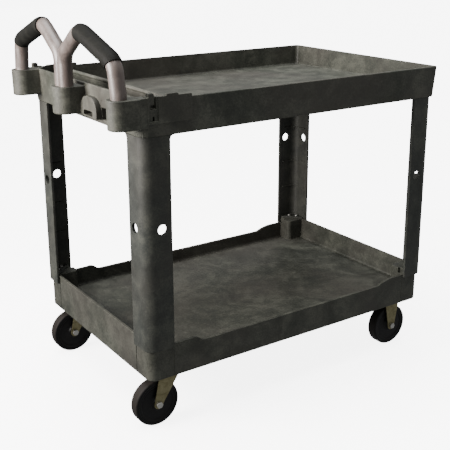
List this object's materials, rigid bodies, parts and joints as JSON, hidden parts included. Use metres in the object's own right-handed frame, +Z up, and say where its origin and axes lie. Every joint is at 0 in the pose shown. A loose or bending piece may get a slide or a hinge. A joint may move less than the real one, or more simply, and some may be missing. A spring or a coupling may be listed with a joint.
{
  "type": "food service trolley",
  "caption": "Utility cart with a deep top tray, a shallow lower tray on L-section corner legs, an M-shaped push handle and swivel and fixed casters.",
  "frame": {"origin": "on the floor, under the middle of the cart's bounding box", "axes": "+X along the shelves from the handle end to the fixed casters, +Y towards the back side, +Z up"},
  "size_m": [1.0527, 0.648, 1.035],
  "materials": {
    "foam_body": "lightly mottled structural foam, matte",
    "handle_grey": "smooth moulded, satin",
    "grip_sleeve": "soft textured sleeve, matte",
    "screw_steel": "zinc plated",
    "bolt_steel": "zinc plated",
    "nut_steel": "bright zinc plated",
    "sleeve_steel": "turned",
    "ball_steel": "polished",
    "fork_steel": "olive-yellow zinc chromate",
    "tyre": "smooth solid tread",
    "wheel_plastic": "moulded",
    "bush_plastic": "self-lubricating, natural"
  },
  "bodies": {
    "cart": {"top_shelf": "foam_body", "lower_shelf": "foam_body", "handle_frame": "handle_grey", "grip_front": "grip_sleeve", "leg_front_left": "foam_body", "leg_front_right": "foam_body", "grip_back": "grip_sleeve", "leg_back_left": "foam_body", "leg_back_right": "foam_body", "handle_screws": "screw_steel", "leg_screws_upper": "screw_steel", "leg_screws_lower": "screw_steel", "caster_bolts": "bolt_steel", "rigid_axle_bolts": "bolt_steel", "rigid_axle_nuts": "nut_steel", "rigid_axle_sleeves": "sleeve_steel", "rigid_fork_front": "fork_steel", "swivel_plate_front": "fork_steel", "kingpin_front": "bolt_steel", "rigid_fork_back": "fork_steel", "swivel_plate_back": "fork_steel", "kingpin_back": "bolt_steel"},
    "swivel_front": {"swivel_fork_front": "fork_steel", "swivel_balls_front": "ball_steel", "swivel_axle_bolt_front": "bolt_steel", "swivel_axle_nut_front": "nut_steel", "swivel_axle_sleeve_front": "sleeve_steel"},
    "wheel_swivel_front": {"tyre_swivel_front": "tyre", "wheel_core_swivel_front": "wheel_plastic", "wheel_bush_swivel_front": "bush_plastic"},
    "wheel_rigid_front": {"tyre_rigid_front": "tyre", "wheel_core_rigid_front": "wheel_plastic", "wheel_bush_rigid_front": "bush_plastic"},
    "swivel_back": {"swivel_fork_back": "fork_steel", "swivel_balls_back": "ball_steel", "swivel_axle_bolt_back": "bolt_steel", "swivel_axle_nut_back": "nut_steel", "swivel_axle_sleeve_back": "sleeve_steel"},
    "wheel_swivel_back": {"tyre_swivel_back": "tyre", "wheel_core_swivel_back": "wheel_plastic", "wheel_bush_swivel_back": "bush_plastic"},
    "wheel_rigid_back": {"tyre_rigid_back": "tyre", "wheel_core_rigid_back": "wheel_plastic", "wheel_bush_rigid_back": "bush_plastic"}
  },
  "joints": [
    {"name": "swivel_front", "type": "hinge", "parent": "cart", "child": "swivel_front", "pos_m": [-0.3665, -0.2586, 0.147], "axis": [0, 0, 1], "continuous": true},
    {"name": "spin_swivel_front", "type": "hinge", "parent": "swivel_front", "child": "wheel_swivel_front", "pos_m": [-0.4015, -0.2586, 0.0635], "axis": [0, 1, 0], "continuous": true},
    {"name": "spin_rigid_front", "type": "hinge", "parent": "cart", "child": "wheel_rigid_front", "pos_m": [0.4355, -0.2586, 0.0635], "axis": [0, 1, 0], "continuous": true},
    {"name": "swivel_back", "type": "hinge", "parent": "cart", "child": "swivel_back", "pos_m": [-0.3665, 0.2586, 0.147], "axis": [0, 0, 1], "continuous": true},
    {"name": "spin_swivel_back", "type": "hinge", "parent": "swivel_back", "child": "wheel_swivel_back", "pos_m": [-0.4015, 0.2586, 0.0635], "axis": [0, 1, 0], "continuous": true},
    {"name": "spin_rigid_back", "type": "hinge", "parent": "cart", "child": "wheel_rigid_back", "pos_m": [0.4355, 0.2586, 0.0635], "axis": [0, 1, 0], "continuous": true}
  ]
}
